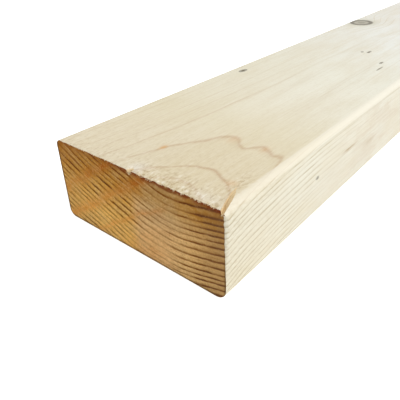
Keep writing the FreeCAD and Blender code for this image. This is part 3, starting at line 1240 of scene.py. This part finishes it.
def bundle_of_splinters(name, splinters, finish, hair=0.02):
    """Joins many splinters into one piece that rides on the board and stays within its box."""
    points, spikes = [], []
    for one in splinters:
        more_points, more_spikes = splinter(*one)
        spikes += [tuple(index + len(points) for index in spike) for spike in more_spikes]
        points += more_points
    lowest = (hair, hair - half_width, hair)
    places = np.clip(points, lowest, (board_length - hair, half_width - hair, thickness))
    mesh = bpy.data.meshes.new(name)
    mesh.from_pydata(in_frame(places).tolist(), [], spikes)
    mesh.materials.append(finish)
    piece = bpy.data.objects.new(name, mesh)
    bpy.context.scene.collection.objects.link(piece)
    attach(piece, "root")
    print(name, "has", len(splinters), "splinters")


# %% [markdown]
# The tufts along the top edge lean out over the end and hang a little. Between the torn corner and the
# notch there are broad shreds as well as fine ones. Towards the back they are fewer and shorter.

# %% Tufts over the near end
tufts = []


def add_tuft(across, wide, droop, thick):
    """One shred that grows from the top face, leans out past the end and hangs."""
    height = thickness - float(chipped(0.3, across)) - dice.uniform(0.02, 0.15)
    start = (dice.uniform(0.8, 2.4), across, height)
    tip = (saw_allowance - dice.uniform(0.12, 0.32), across + dice.normal(0, 0.3), height)
    tufts.append((start, tip, thick, wide, droop))


for count in range(26):
    add_tuft(dice.uniform(-41, 3), dice.uniform(1.2, 2.8), dice.uniform(0.1, 0.45), 0.12)
for count in range(8):
    add_tuft(dice.normal(-8, 4), dice.uniform(1.0, 2.0), dice.uniform(0.4, 1.0), 0.14)
for count in range(12):
    add_tuft(dice.uniform(3, 41), dice.uniform(0.8, 1.8), dice.uniform(0.1, 0.4), 0.12)
for count in range(50):
    across = dice.uniform(-41, 41)
    add_tuft(across, dice.uniform(0.25, 0.6), dice.uniform(0.1, 0.4 if across < 3 else 0.25), 0.12)
for count in range(16):
    across = 0.1 + dice.normal(0, 0.6)
    height = thickness - dice.uniform(0.4, 1.5)
    tip = (0.08, across + dice.normal(0, 0.4), height)
    tufts.append(((2.2, across, height), tip, 0.2, 0.4, dice.uniform(0.2, 0.9)))
bundle_of_splinters("tufts_on_the_near_edge", tufts, loose_fibre)

# %% [markdown]
# A few long splinters still cling to the lip of the tear, shorter ones lie on its floor, and some hang
# out of it over the end. They follow the grain, so they all point the same way.

# %% Splinters at the torn corner
clinging = []
for start, end, width in ((0.3, 5.5, 0.4), (3.5, 9.5, 0.4), (7.5, 13.0, 0.35), (10.5, 14.5, 0.3)):
    lip_start, lip_end = np.interp((start, end), tear_lip_marks, tear_lip_places)
    first = (start, lip_start - 0.15, thickness - 0.30)
    last = (end, lip_end - 0.05, thickness - 0.16)
    clinging.append((first, last, 0.3, width, 0.0))
for count in range(4):
    start = dice.uniform(2, 9)
    end = start - dice.uniform(0.8, 2.5)
    share = dice.uniform(0.1, 0.9)
    across, up = tear_floor(start, share)
    tip_across, tip_up = tear_floor(end, share)
    tip = (end, tip_across, tip_up + dice.uniform(0.05, 0.2))
    clinging.append(((start, across, up + 0.05), tip, 0.12, 0.28, 0.0))
for count in range(7):
    across, up = tear_floor(0.4, dice.uniform(0.0, 0.8))
    tip = (0.06, across + dice.normal(0, 0.2), up)
    clinging.append(((1.5, across, up + 0.1), tip, 0.2, 0.5, dice.uniform(0.1, 0.6)))
bundle_of_splinters("splinters_in_the_torn_corner", clinging, loose_fibre)

# %% [markdown]
# The far end was sawn too, and the saw left a fringe of short fibres along its bottom edge, where the
# blade came out.

# %% Fringe at the far end
fringe = []
for count in range(90):
    across = dice.uniform(-39, 40)
    height = dice.uniform(0.15, 0.5)
    start = (board_length - dice.uniform(0.8, 2.0), across, height)
    tip_along = board_length - saw_allowance + dice.uniform(0.05, 0.3)
    tip = (tip_along, across + dice.normal(0, 0.4), height)
    fringe.append((start, tip, 0.14, dice.uniform(0.2, 0.45), 0.1))
bundle_of_splinters("fringe_on_the_far_edge", fringe, loose_fibre)

# %% [markdown]
# The floor is a plain pale studio floor. Its own paint is nearly white and takes the board's soft shadow,
# and what the camera sees of it is lifted to white by a glow that only camera, mirror and glass rays
# meet. That glow lights nothing, so the board is lit by the lamps and the sky alone.

# %% The studio floor
backdrop_lift = 0.62
floor_radius = 60.0
floor_corners = 64


def camera_rays(tree):
    """1 for rays from the camera, a mirror or glass, and 0 for those that carry light between surfaces."""
    path = tree.nodes.new("ShaderNodeLightPath")
    total = path.outputs["Is Camera Ray"]
    for name in ("Is Glossy Ray", "Is Transmission Ray"):
        adder = tree.nodes.new("ShaderNodeMath")
        adder.operation = "ADD"
        adder.use_clamp = True
        tree.links.new(total, adder.inputs[0])
        tree.links.new(path.outputs[name], adder.inputs[1])
        total = adder.outputs[0]
    return total


def pale_floor():
    """A wide disc just under the board."""
    mesh = bpy.data.meshes.new("studio_floor")
    turns = np.linspace(0, 2 * math.pi, floor_corners, endpoint=False)
    rim = [(floor_radius * math.cos(turn), floor_radius * math.sin(turn), low_z * MM) for turn in turns]
    mesh.from_pydata(rim, [], [tuple(range(floor_corners))])
    paint = bpy.data.materials.new("studio_floor_paint")
    paint.use_nodes = True
    tree = paint.node_tree
    shader = tree.nodes["Principled BSDF"]
    shader.inputs["Base Color"].default_value = (0.86, 0.86, 0.86, 1)
    shader.inputs["Roughness"].default_value = 1.0
    shader.inputs["Specular IOR Level"].default_value = 0.0
    shader.inputs["Emission Color"].default_value = (1, 1, 1, 1)
    lift = tree.nodes.new("ShaderNodeMath")
    lift.operation = "MULTIPLY"
    tree.links.new(camera_rays(tree), lift.inputs[0])
    lift.inputs[1].default_value = backdrop_lift
    tree.links.new(lift.outputs[0], shader.inputs["Emission Strength"])
    mesh.materials.append(paint)
    floor = bpy.data.objects.new("studio_floor", mesh)
    bpy.context.scene.collection.objects.link(floor)


pale_floor()
print("floor laid at", low_z, "mm")

# %% [markdown]
# The light is soft and white. Most of it comes evenly from the whole sky, and the rest from one broad
# lamp, high on the side of the front edge. That lamp makes the eased front corner the brightest line of
# the board and leaves the sawn end a step darker, as in the photograph. Small hard lamps would draw sharp
# shadows that are not there.

# %% The light
sky_level = 0.60
lamp_level = 1.57


def studio_sky():
    """White all round: it lights at the sky's level and is seen as plain white."""
    world = bpy.data.worlds.new("studio_sky")
    bpy.context.scene.world = world
    world.use_nodes = True
    tree = world.node_tree
    background = tree.nodes["Background"]
    background.inputs["Color"].default_value = (1, 1, 1, 1)
    lift = tree.nodes.new("ShaderNodeMath")
    lift.operation = "MULTIPLY_ADD"
    tree.links.new(camera_rays(tree), lift.inputs[0])
    lift.inputs[1].default_value = 1 - sky_level
    lift.inputs[2].default_value = sky_level
    tree.links.new(lift.outputs[0], background.inputs["Strength"])


def broad_lamp(name, comes_from, level, spread):
    """A distant lamp that covers a wide patch of sky, so that its shadows are soft."""
    light = bpy.data.lights.new(name, "SUN")
    light.energy = level
    light.angle = math.radians(spread)
    lamp = bpy.data.objects.new(name, light)
    lamp.rotation_mode = "QUATERNION"
    lamp.rotation_quaternion = Vector(comes_from).to_track_quat("Z", "Y")
    bpy.context.scene.collection.objects.link(lamp)
    print(name, "shines from", comes_from)


studio_sky()
broad_lamp("front_lamp", (0.10, -0.66, 0.75), lamp_level, 50)

# %% [markdown]
# The camera stands low and close, beyond the near end and to the right of it, and looks down along the
# board. Its place was worked out from the edges of the sawn end, whose true size is known. It is written
# as an azimuth round the board, an elevation above the floor and a slight tilt, which read more easily
# than a matrix.

# %% The camera
camera_azimuth = -0.865862
camera_elevation = 0.571177
camera_tilt = -0.0235308
camera_place = (low_x - 90.708, -111.020, 115.207)
focal_length = 40.016


def set_camera():
    """The photograph's viewpoint."""
    data = bpy.data.cameras.new("camera")
    data.lens = focal_length
    data.sensor_width = 36.0
    data.clip_start = 0.01
    data.clip_end = 200.0
    camera = bpy.data.objects.new("camera", data)
    bpy.context.scene.collection.objects.link(camera)
    level = math.cos(camera_elevation)
    forward_part = -math.cos(camera_azimuth) * level
    back = Vector((math.sin(camera_azimuth) * level, forward_part, math.sin(camera_elevation)))
    right = Vector((0, 0, 1)).cross(back).normalized()
    up = back.cross(right)
    tilted_right = right * math.cos(camera_tilt) + up * math.sin(camera_tilt)
    tilted_up = up * math.cos(camera_tilt) - right * math.sin(camera_tilt)
    turned = Matrix((tilted_right, tilted_up, back)).transposed().to_4x4()
    camera.matrix_world = Matrix.Translation(Vector(camera_place) * MM) @ turned
    bpy.context.scene.camera = camera
    return camera


camera = set_camera()
bpy.context.scene.view_settings.view_transform = "Standard"
print("camera at", tuple(round(value, 4) for value in camera.location))
